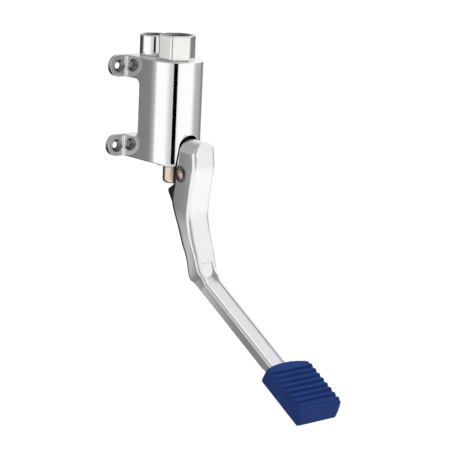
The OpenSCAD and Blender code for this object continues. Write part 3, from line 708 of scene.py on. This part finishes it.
class MakeCasting(Operator):
    """Models the body casting with its arms, ears, boss, tongue and bores"""

    bl_idname = "foot_tap.make_casting"
    bl_label = "Body casting"

    def execute(self, context):
        s, top, (p, pz) = settings().casting, body_top(), pivot()
        r = mm(s.front_radius)
        casting = self.body(s, r, top)

        foot, high = mm(settings().lever.head_width) / 2 + 1, pz + ARCH_RISE
        recess = [(-foot, -top - 8), (-foot, -top)] + arc((0, high), ARCH_RADIUS, 180, 0, 40)
        recess = [at(x, ARCH_DEPTH, z) for x, z in recess + [(foot, -top), (foot, -top - 8)]]
        joined(casting, prism("arch", recess, by(y=-20)))
        b, low = mm(s.boss_radius), -top - mm(s.boss_height)
        boss = [(0, -top + 2), (b, -top + 2), (b, low + 0.5), (b - 0.5, low), (0, low)]
        boss = joined(turned_up("boss", boss, ring=False), prism("arch", recess, by(y=-20)))
        joined(casting, boss, "UNION")

        root = ARCH_DEPTH - 1
        tongue = [(root, -top), (root, -top + 13), (p, pz + TONGUE_RADIUS)]
        tongue += arc((p, pz), TONGUE_RADIUS, 80, -140, 22)
        tongue = prism("tongue", [at(-TONGUE_WIDTH / 2, f, z) for f, z in tongue], by(x=TONGUE_WIDTH))
        joined(casting, tongue, "UNION")
        for ear in self.ears(s, r):
            joined(casting, ear, "UNION")
        self.bores(casting, top, p, pz)

        def at_hole(x, f, z, reach):
            return f < 0 and hypot(abs(x) - mm(s.hole_across) / 2, abs(z) - mm(s.hole_up) / 2) < reach

        def on_arm(x, f, z, n):
            return abs(x) > r + 0.02 and f < wall + 5 and n.y < -0.2

        def in_sink(x, f, z, n):
            return at_hole(x, f, z, 2 * hole) and -0.9 < n.y < -0.3

        def in_hole(x, f, z, n):
            return at_hole(x, f, z, hole + 0.02) and abs(n.y) < 0.3

        def in_arch(x, f, z, n):
            under = abs(x) < foot + 0.1 and z < high + ARCH_RADIUS + 0.1 and n.z > -0.9
            return under and f > ARCH_DEPTH - 0.3 and hypot(x, f) < r - 0.9

        def in_chamber(x, f, z, n):
            return hypot(x, f) < CHAMBER + 0.02 and -top - 2 < z < top - 1

        hole, wall = mm(s.hole) / 2, -mm(s.axis_distance)
        painted(casting, "polished_chrome")
        painted(casting, "dull_chrome", on_arm)
        # Countersinks: steel darkened as painted shade
        painted(casting, "machined_bore", in_sink)
        # Fixing holes and the arch recess: near-black as painted shade in the hollows
        painted(casting, "rough_casting", in_hole)
        painted(casting, "rough_casting", in_arch)
        # The chamber: steel darkened as painted shade
        painted(casting, "machined_bore", in_chamber)
        return finished(casting, "polished_chrome", "valve", "valve_body")

    def body(self, s, r, top):
        """The slightly crowned body with rounded rims, and the window between its two arms."""
        axis, back, fillet, gap = mm(s.axis_distance), mm(s.back_depth), mm(s.fillet), top - ARM_HEIGHT
        side, crown = r - 0.02, 0.2
        half = [(side, -axis), (side, -8)]
        half += [(side - crown * (k / 6) ** 2, -8 + 9 * k / 6) for k in range(1, 6)]
        bearings = [radians(2.6 + 1.748 * k) for k in range(51)]
        half += [((r - crown) * cos(a), r * sin(a)) for a in bearings]
        outline = [(-x, f) for x, f in half] + [(x, f) for x, f in reversed(half[:-1])]
        casting = prism("body_casting", [at(x, f, -top) for x, f in outline], by(z=2 * top))
        rounded(casting, mm(s.edge))
        behind, corner = -axis - 4, (-back - fillet, gap - fillet)
        window = [(behind, -gap)] + arc((corner[0], -corner[1]), fillet, -90, 0, 12)
        window += arc(corner, fillet, 0, 90, 12) + [(behind, gap)]
        return joined(casting, prism("window", [at(-r - 3, f, z) for f, z in window], by(x=2 * r + 6)))

    def ears(self, s, r):
        """One countersunk ear, and its three copies."""
        up, across, thick = mm(s.hole_up), mm(s.hole_across), mm(s.ear_thickness)
        end, wall = EAR_REACH - across / 2, -mm(s.axis_distance)
        outline = [(r - 1.5, -end)] + arc((across / 2, 0), end, -90, 90, 36) + [(r - 1.5, end)]
        ear = prism("ear", [at(x, wall, z + up / 2) for x, z in outline], by(y=-thick))

        def outer(*ends):
            return all(abs(v.y + thick) < 0.01 for v in ends) and any(v.x > r for v in ends)

        bevelled(ear, 1.5, 6, outer)
        q, front = 2.4, wall + thick
        web = [(r - 0.5, front - 0.5), (r + q, front - 0.5)] + arc((r + q, front + q), q, -90, -180, 8)
        web = [at(x, f, up / 2 - end + 0.9) for x, f in web + [(r - 0.5, front + q)]]
        joined(ear, prism("web", web, by(z=2 * (end - 0.9))), "UNION")
        bore, sink, past = mm(s.hole) / 2, mm(s.countersink) / 2, thick + 2
        profile = [(0, -1), (bore, -1), (bore, thick + bore - sink), (sink, thick)]
        profile += [(sink + 0.3, thick + 0.15), (sink + 0.3, past), (0, past)]
        centre = at(across / 2, wall, up / 2)
        points = [centre + Vector((x, -f, 0)) * MM for x, f in profile]
        joined(ear, turned("countersink", points, centre, (0, 1, 0), 64, ring=False))
        far = copied(ear, "ear", half_turn=True)
        return [ear, copied(ear, "ear", by(z=-up)), far, copied(far, "ear", by(z=up))]

    def bores(self, casting, top, p, pz):
        """The chamber, the gland's bore, the outlet, the two ducts that lead to it, and the bush's bore."""
        port, low, high = -mm(settings().ports.spacing), LEDGE - 8, top - 11.8
        tools = [
            rod("chamber", CHAMBER, LEDGE, top + 2),
            rod("gland_bore", GLAND, -top - 6, LEDGE + 1),
            rod("socket_bore", 10 + FIT, top - 8, top + 2, 0, port),
            rod("socket_pocket", 7.5, top - 15, top - 7, 0, port),
        ]
        for side in (-DUCT_ACROSS, DUCT_ACROSS):
            tools += [
                rod("duct", DUCT_RADIUS, low, high, side, DUCT_FORWARD, 32),
                rod_deep("duct", DUCT_RADIUS, DUCT_FORWARD + 1, port, side, high, 32),
                rod_deep("duct", DUCT_RADIUS, -2, DUCT_FORWARD - 1, side, low, 32),
            ]
        for tool in tools + [rod_across("bush_bore", 4.25, -6, 6, p, pz)]:
            joined(casting, tool)


class MakePorts(Operator):
    """Models the hexagonal inlet union and the round outlet socket, with their threads"""

    bl_idname = "foot_tap.make_ports"
    bl_label = "Pipe ports"

    def execute(self, context):
        s, top = settings().ports, body_top()
        self.hexagon(s, top)
        return self.socket(s, top)

    def hexagon(self, s, top):
        """The union: a hexagon cut to a chamfering cone, its spigot, and the thread and water way in it."""
        corner, flat, height = mm(s.flats) / sqrt(3), mm(s.flats) / 2, UNION_TOP - top
        turns = [radians(60 * k + 30) + s.turn for k in range(6)]
        outline = [at(corner * cos(a), -corner * sin(a), top) for a in turns]
        union = prism("hexagon_union", outline, by(z=height))
        bevelled(union, 1.5, 6, lambda a, b: abs(a.z - b.z) > 1)
        rounded(union, 0.6)
        past, rim = 0.3, flat + 0.1
        low, high = top - past, UNION_TOP + past
        cone = [(0, low), (corner - 0.9 - 1.5 * past, low), (corner, top + 0.6), (corner, UNION_TOP - 1)]
        cone += [(rim - (corner - rim) * past, high), (0, high)]
        joined(union, turned_up("chamfer", cone, ring=False, steps=128), "INTERSECT")
        thick, neck = 10.45, 9.45
        spigot = [(0, top - 12), (thick, top - 12), (thick, top - 2), (neck, top - 2)]
        spigot += [(neck, top + 1), (0, top + 1)]
        joined(union, turned_up("spigot", spigot, ring=False), "UNION")
        thread, seat, mouth = mm(s.thread_radius), UNION_TOP - 16, UNION_TOP - 1.5
        bore = [(0, seat), (thread + 0.6, seat), (thread + 0.6, seat + 3), (thread, seat + 3)]
        bore += thread_profile(thread, seat + 3, mouth + 0.1, mm(s.thread_pitch))
        bore += [(thread, mouth), (10.9, UNION_TOP + 0.1), (10.9, UNION_TOP + 2), (0, UNION_TOP + 2)]
        joined(union, turned_up("threads", bore, ring=False))
        joined(union, rod("water_way", 7.2, top - 14, seat + 1))
        painted(union, "satin_nickel")
        # The union's bore: steel darkened as painted shade
        painted(union, "machined_bore", lambda x, f, z, n: hypot(x, f) < 10.85 and z > top - 11)
        return finished(union, "satin_nickel", "valve", "inlet_union")

    def socket(self, s, top):
        thread, outer, rim = mm(s.thread_radius), mm(s.socket_diameter) / 2, top + mm(s.socket_height)
        foot, shoulder, step, edge = top - 7.2, rim - 13, 7.5, 0.9
        profile = [(10, foot), (10, top), (outer - 0.4, top), (outer, top + 0.4), (outer, rim - edge)]
        profile += arc((outer - edge, rim - edge), edge, 15, 90, 5)
        profile += [(10.6, rim), (10.45, rim - 0.05), (thread, rim - 1.3)]
        profile += reversed(thread_profile(thread, shoulder, rim - 1.3, mm(s.thread_pitch)))
        profile += [(thread, shoulder), (step, shoulder), (step, foot)]
        socket = turned_up("round_socket", profile, -mm(s.spacing), 128)
        painted(socket, "polished_chrome")
        # The socket's bore: steel darkened as painted shade
        painted(socket, "machined_bore", lambda x, f, z, n: hypot(x, f + mm(s.spacing)) < 10.4 and z > top)
        return finished(socket, "polished_chrome", "valve", "outlet_socket")


class MakePlunger(Operator):
    """Models the brass plunger cap under the body"""

    bl_idname = "foot_tap.make_plunger"
    bl_label = "Plunger cap"

    def execute(self, context):
        r, edge = mm(settings().lever.plunger_radius), PLUNGER_EDGE
        low, high = -body_top() - PLUNGER_FOOT, -body_top() - PLUNGER_TOP
        profile = [(0, low), (r - edge, low)] + arc((r - edge, low + edge), edge, -80, 0, 10)
        profile += [(r, high - 1.6), (r - 0.35, high - 1.3), (r - 0.35, high - 0.9), (r, high - 0.6)]
        profile += [(r - 0.3, high), (3 + FIT, high), (3 + FIT, low + 4), (0, low + 4)]
        cap = turned_up("brass_plunger", profile, ring=False)
        return finished(cap, "brass", "plunger", "plunger_cap", 35)


class MakeLever(Operator):
    """Models the lever from its domed head to the brushed bar, with the heel that lifts the plunger"""

    bl_idname = "foot_tap.make_lever"
    bl_label = "Lever"

    def execute(self, context):
        s, (p, pz) = settings().lever, pivot()
        half, ring, floor = mm(s.head_width) / 2, mm(s.pin_recess), mm(s.head_width) / 2 - 1
        lever = lofted("lever_casting", [lever_section(row) for row in lever_rows()])
        joined(lever, self.heel(), "UNION")
        start, end, w = mm(s.bar_length) - 1, mm(s.bar_length) + mm(settings().pad.length) - 7, PLATE_HALF
        plate = [(-w, start), (w, start), (w, end - 3), (w - 3, end), (3 - w, end), (-w, end - 3)]
        plate = [bar_place(x, u, PLATE_OUT) for x, u in plate]
        joined(lever, prism("foot_plate", plate, bar_reach(0, PLATE_THICK)), "UNION")

        room, slit = 7.7, TONGUE_WIDTH + 1.2
        slot = [(5.5, pz + 20.5), (p + room, pz + 20.5)] + arc((p, pz), room, 0, -135, 24)
        slot.append((5.5, pz - 5.3))
        joined(lever, prism("tongue_slot", [at(-slit / 2, f, z) for f, z in slot], by(x=slit)))
        joined(lever, rod_across("pin_bore", mm(s.pin_radius) + FIT, -half - 1, half + 1, p, pz))
        for side in (-1, 1):
            joined(lever, rod_across("pin_recess", ring, side * floor, side * (half + 2), p, pz, 96))
        w, depth, first = mm(s.bar_width) / 2 - mm(s.lip), mm(s.recess), mm(s.recess_start)
        last = first + mm(s.bar_length)
        side = [(first, -depth), (first - 9.4, 8 - depth), (last, 8 - depth), (last, -depth)]
        joined(lever, prism("bar_recess", [bar_place(-w, u, v) for u, v in side], by(x=2 * w)))

        out = bar_reach(0, 1).normalized()
        level = mm(bar_place(0, 0, -depth).dot(out))

        def in_ring(x, f, z):
            return floor - 0.1 < abs(x) < half - 0.01 and hypot(f - p, z - pz) < ring + 0.02

        def on_floor(x, f, z):
            return abs(x) < w and abs(mm(at(x, f, z).dot(out)) - level) < 0.05

        def on_heel(x, f, z):
            return abs(x) < HEEL_WIDTH / 2 + 0.06 and f < 21 and pz - 30 < z < pz - 3

        painted(lever, "soft_chrome")
        painted(lever, "polished_chrome", lambda x, f, z, n: abs(n.x) > 0.985)
        # The lever's back faces: dark as painted shade, which the plunger mirrors as a dark side
        painted(lever, "plated_back", lambda x, f, z, n: n.y > 0.12)
        # The heel and the pin recess's walls: near-black as painted shade
        painted(lever, "rough_casting", lambda x, f, z, n: on_heel(x, f, z))
        painted(lever, "rough_casting", lambda x, f, z, n: in_ring(x, f, z))
        # The pin recess's floor: steel darkened as painted shade
        painted(lever, "machined_bore", lambda x, f, z, n: in_ring(x, f, z) and abs(n.x) > 0.9)
        painted(lever, "brushed_bar", lambda x, f, z, n: n.dot(out) > 0.99 and on_floor(x, f, z))
        return finished(lever, "polished_chrome", "lever", "lever_arm")

    def heel(self):
        """A finger whose top edges are rounded until they meet."""
        pz, rise, tip, root = pivot()[1], tan(HEEL_SLOPE), -1, 19.5
        radius, gap = mm(settings().lever.plunger_radius) - PLUNGER_EDGE, 0.3
        height = PLUNGER_EDGE - body_top() - PLUNGER_FOOT - radius * rise
        height -= (PLUNGER_EDGE + gap) / cos(HEEL_SLOPE)
        outline = [
            (tip, height + tip * rise), (root, height + root * rise), (root + 2, pz - 28),
            (tip + 6.4, pz - 28), (tip + 0.6, height + tip * rise - 2.4),
        ]
        along = (at(0, *outline[1]) - at(0, *outline[0])).normalized()
        finger = prism("heel", [at(-HEEL_WIDTH / 2, f, z) for f, z in outline], by(x=HEEL_WIDTH))

        def on_top(a, b):
            return abs((a - b).normalized().dot(along)) > 0.999

        return bevelled(finger, 2.9, 10, on_top, clamp=True)


class MakePin(Operator):
    """Models the pivot pin with its domed head"""

    bl_idname = "foot_tap.make_pin"
    bl_label = "Pivot pin"

    def execute(self, context):
        s, (p, pz) = settings().lever, pivot()
        r, head, half = mm(s.pin_radius), mm(s.pin_head), mm(s.head_width) / 2
        floor, end, groove = 1 - half, half - 0.1, half - 0.65
        dome, rim, crown = (head ** 2 + 1) / 2, floor - 2.2, floor - 3.2
        profile = [(crown, 0)]
        for k in range(1, 9):
            a = k / 8 * asin((head - 0.35) / dome)
            profile.append((crown + dome * (1 - cos(a)), dome * sin(a)))
        profile += [(rim + 0.12, head - 0.1), (rim + 0.4, head), (floor, head), (floor, r)]
        near, far = groove - 0.35, groove + 0.35
        profile += [(near, r), (near, r - 0.6), (far, r - 0.6), (far, r)]
        profile += [(end - 0.3, r), (end, r - 0.3), (end, 0)]
        points = [at(x, p, pz + q) for x, q in profile]
        pin = turned("domed_pin", points, at(0, p, pz), (1, 0, 0), 64, ring=False)
        return finished(pin, "bronze", "lever", "pivot_pin", 35)


class MakePad(Operator):
    """Models the ribbed rubber pad that is pushed over the end of the bar"""

    bl_idname = "foot_tap.make_pad"
    bl_label = "Rubber pad"

    def execute(self, context):
        s, start = settings().pad, mm(settings().lever.bar_length)
        w, long, crest = mm(s.width) / 2, mm(s.length), PAD_FACE + mm(s.ridge_height)
        ridge = [(1.75, PAD_FACE), (1.35, PAD_FACE + 0.35), (1.0, crest - 0.55), (0.6, crest - 0.08)]
        side = [(-9, PAD_SOLE), (-9, PAD_FACE)]
        for k in range(s.ridges):
            u = 2.6 + mm(s.pitch) * k
            side += [(u - x, v) for x, v in ridge] + [(u, crest)] + [(u + x, v) for x, v in reversed(ridge)]
        side += [(long - 4.4, PAD_FACE), (long, -6), (long - 4.5, PAD_SOLE)]
        pad = prism("ribbed_pad", [bar_place(-w - 2, start + u, v) for u, v in side], by(x=2 * w + 4))

        low, high = 8, 2.4
        across = arc((low - w, PAD_SOLE + low), low, 270, 180, 16)
        across += arc((high - w, crest - high), high, 180, 90, 8)
        across += arc((w - high, crest - high), high, 90, 0, 8)
        across += arc((w - low, PAD_SOLE + low), low, 0, -90, 16)
        across = [bar_place(x, start - 12, v) for x, v in across]
        joined(pad, prism("section", across, bar_reach(long + 16, 0)), "INTERSECT")

        bow, back, corner = mm(s.bow), mm(s.back), 5
        bend = (w * w + bow * bow) / (2 * bow)
        reach = degrees(asin(w / bend))
        plan = arc((0, bend - bow - back), bend, -90 - reach, -90 + reach, 40)
        plan += arc((w - corner, long - corner), corner, 0, 90, 9)
        plan += arc((corner - w, long - corner), corner, 90, 180, 9)
        plan = prism("plan", [bar_place(x, start + u, PAD_SOLE - 2) for x, u in plan], bar_reach(0, 24))
        joined(pad, plan, "INTERSECT")

        bar = settings().lever
        loose = 2 * FIT
        thick = mm(bar.bar_thickness - bar.bar_taper) + loose
        for name, half, near, far, out, room in (
            ("sleeve", mm(bar.bar_width) / 2 + FIT, -12, long - 5 + loose, FIT - thick, thick),
            ("plate_room", PLATE_HALF + FIT, -loose, long - 7 + loose, PLATE_OUT - FIT, PLATE_THICK + loose),
        ):
            hollow = [(-half, near), (half, near), (half, far), (-half, far)]
            joined(pad, prism(name, [bar_place(x, start + u, out) for x, u in hollow], bar_reach(0, room)))
        changed(pad, "REMESH", mode="VOXEL", voxel_size=s.softness, use_smooth_shade=True)
        changed(pad, "SMOOTH", factor=0.5, iterations=3)
        return finished(pad, "blue_rubber", "lever", "foot_pad", 180)


class MakeStudio(Operator):
    """Sets the camera, the pale floor, the soft lamp and the studio that the chrome mirrors"""

    bl_idname = "foot_tap.make_studio"
    bl_label = "Studio"

    def execute(self, context):
        scene = context.scene
        scene.camera = self.camera(scene)
        scene.world = self.air()
        for piece in (self.floor(), self.surround(), self.flag()):
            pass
        self.lamp(scene, (0.35, -0.3, 0.89), 1.3)
        scene.view_settings.view_transform = "Standard"
        return {"FINISHED"}

    def camera(self, scene):
        """A camera that looks down and to the right, and sees the body's top front edge at one pixel."""
        turn, dip, roll = radians(-40.6), radians(12.5), radians(-2.6)
        pixels, focal, distance, edge = 458, 1892.7, 1.536, (176.7, 59.1)
        right = Vector((cos(turn), sin(turn), 0))
        ahead = Vector((-sin(turn) * cos(dip), cos(turn) * cos(dip), -sin(dip)))
        up = right.cross(ahead)
        x = cos(roll) * right - sin(roll) * up
        y = sin(roll) * right + cos(roll) * up
        aside, down = ((seen - pixels / 2) / focal for seen in edge)
        place = Vector((0, -42, 42)) * MM - distance * (ahead + aside * x - down * y)
        data = bpy.data.cameras.new("camera")
        data.sensor_width, data.lens, data.clip_end = 36, focal / pixels * 36, 100
        camera = bpy.data.objects.new("camera", data)
        scene.collection.objects.link(camera)
        camera.matrix_world = Matrix((
            (x.x, y.x, -ahead.x, place.x), (x.y, y.y, -ahead.y, place.y), (x.z, y.z, -ahead.z, place.z),
            (0, 0, 0, 1),
        ))
        return camera

    def air(self):
        """White to the camera, metal and glass, and a softer white that lights the object."""
        air = Finish("studio_air", "worlds")
        seen = air.node("ShaderNodeLightPath")
        for ray in ("Is Glossy Ray", "Is Transmission Ray"):
            seen += air.node("ShaderNodeLightPath", output=ray)

        def sky(strength):
            return air.node("ShaderNodeBackground", None, {"Color": (1, 1, 1, 1), "Strength": strength})

        mixed = air.node("ShaderNodeMixShader", None, {0: seen, 1: sky(0.5), 2: sky(1.0)})
        return air.shown(mixed, "World")

    def floor(self):
        """A pale floor that keeps the shadow and shows white where no shadow falls."""
        deselect()
        bpy.ops.mesh.primitive_grid_add(
            x_subdivisions=8, y_subdivisions=8, size=24, location=(0, 0, -settings().floor_drop),
        )
        floor = bpy.context.object
        floor.name = "studio_floor"
        paint = Finish("pale_floor")
        base = paint.node("ShaderNodeBsdfDiffuse", None, {"Color": (0.8, 0.8, 0.8, 1)})
        seen = paint.blend(paint.node("ShaderNodeLightPath"), (0, 0, 0), (0.38, 0.38, 0.38))
        both = paint.node("ShaderNodeAddShader", None, {0: base, 1: paint.glow(seen)})
        floor.data.materials.append(paint.shown(both))
        floor.visible_glossy = False
        return floor

    def surround(self):
        """A round studio that only mirrors see: screens, grey walls and dark gaps at their bearings."""
        deselect()
        bpy.ops.mesh.primitive_uv_sphere_add(segments=96, ring_count=48, radius=1, location=at(0, 0, 0))
        room = bpy.context.object
        room.name = "studio_surround"
        paint = Finish("studio_screens")
        spot = paint.spot()
        east, north, height = (paint.node("ShaderNodeSeparateXYZ", None, {0: spot}, k) for k in range(3))
        turn = paint.node("ShaderNodeMath", {"operation": "ARCTAN2"}, {0: east, 1: north * -1.0})
        bearing = turn * (1 / tau) + 0.5

        def screens(*stops):
            greys = [((degrees + 180) / 360, grey) for degrees, grey in stops]
            return paint.node("ShaderNodeValToRGB", {"stops": greys}, {"Fac": bearing})

        knee_high = screens(
            (-180, 0.03), (-147, 0.03), (-143, 0.3), (-140, 0.5), (-137.5, 0.5), (-135.5, 0.25),
            (-131, 0.2), (-127, 0.6), (-110, 0.8), (-95, 1), (60, 1), (95, 0.85), (125, 0.6), (150, 0.5),
            (165, 0.05), (180, 0.03),
        )
        chest_high = screens(
            (-180, 0.05), (-152, 0.05), (-146, 0.14), (-142, 0.21), (-139, 0.24), (-137, 0.4),
            (-133, 0.78), (-124, 1), (-80, 1), (-70, 0.82), (-62, 0.68), (-55, 0.6), (-33, 0.8),
            (-24, 0.97), (-10, 1), (34, 1), (44, 0.74), (56, 0.46), (80, 0.42), (96, 0.27), (110, 0.22),
            (125, 0.4), (140, 0.9), (152, 0.9), (160, 0.1), (180, 0.05),
        )
        above = screens(
            (-180, 0.33), (-150, 0.33), (-136, 0.4), (-120, 0.45), (-30, 0.45), (20, 0.8), (60, 1),
            (120, 1), (140, 0.85), (158, 0.4), (180, 0.33),
        )
        chest, head = paint.ranged(height, -0.315, -0.285), paint.ranged(height, -0.03, 0.12)
        roof = paint.ranged(height, 0.45, 0.8)
        shade = paint.blend(head, paint.blend(chest, knee_high, chest_high), above)
        shade = paint.blend(roof, shade, paint.blend(0.12, shade, (0, 0, 0)))
        return self.mirrored_only(room, paint.shown(paint.glow(shade, 1.13)))

    def flag(self):
        """A dark card beside the body, which the chrome mirrors as a stripe."""
        away, bearing, foot, height = 300, radians(-39.2), -109, 154
        sine, cosine = sin(bearing), cos(bearing)
        card = [(away * sine + w * cosine, away * cosine - w * sine) for w in (-52, 38)]
        card += [(x * 1.01, f * 1.01) for x, f in reversed(card)]
        card = prism("studio_flag", [at(x, f, foot) for x, f in card], by(z=height))
        felt = Finish("dark_felt")
        return self.mirrored_only(card, felt.shown(felt.glow((0, 0, 0, 1))))

    def mirrored_only(self, piece, material):
        piece.data.materials.append(material)
        for ray in ("camera", "diffuse", "shadow", "volume_scatter"):
            setattr(piece, "visible_" + ray, False)
        return piece

    def lamp(self, scene, towards, strength):
        """A broad soft light from above the front."""
        data = bpy.data.lights.new("key_lamp", "SUN")
        data.energy, data.angle = strength, radians(32)
        lamp = bpy.data.objects.new("key_lamp", data)
        scene.collection.objects.link(lamp)
        lamp.rotation_euler = Vector(towards).to_track_quat("Z", "Y").to_euler()
        lamp.visible_glossy = False


MAKERS = (MakeFinishes, MakeCasting, MakePorts, MakePlunger, MakeLever, MakePin, MakePad, MakeStudio)


class FootTapPanel(Panel):
    """Lists the sizes, the colours and the steps that make the valve"""

    bl_idname = "VIEW3D_PT_foot_tap"
    bl_label = "Foot Pedal Tap Valve"
    bl_space_type = "VIEW_3D"
    bl_region_type = "UI"
    bl_category = "Foot Tap"

    def draw(self, context):
        tap = context.scene.foot_tap
        for group in (tap.casting, tap.ports, tap.lever, tap.pad, tap.colours):
            box = self.layout.box()
            for name in type(group).__annotations__:
                box.prop(group, name)
        self.layout.prop(tap, "floor_drop")
        for maker in MAKERS:
            self.layout.operator(maker.bl_idname)


CLASSES = (CastingSizes, PortSizes, LeverSizes, PadSizes, Colours, FootTap, *MAKERS, FootTapPanel)


def register():
    for each in CLASSES:
        bpy.utils.register_class(each)
    bpy.types.Scene.foot_tap = PointerProperty(type=FootTap)


def unregister():
    del bpy.types.Scene.foot_tap
    for each in reversed(CLASSES):
        bpy.utils.unregister_class(each)


def main():
    register()
    for maker in MAKERS:
        group, name = maker.bl_idname.split(".")
        getattr(getattr(bpy.ops, group), name)()
    deselect()


if __name__ == "__main__":
    main()
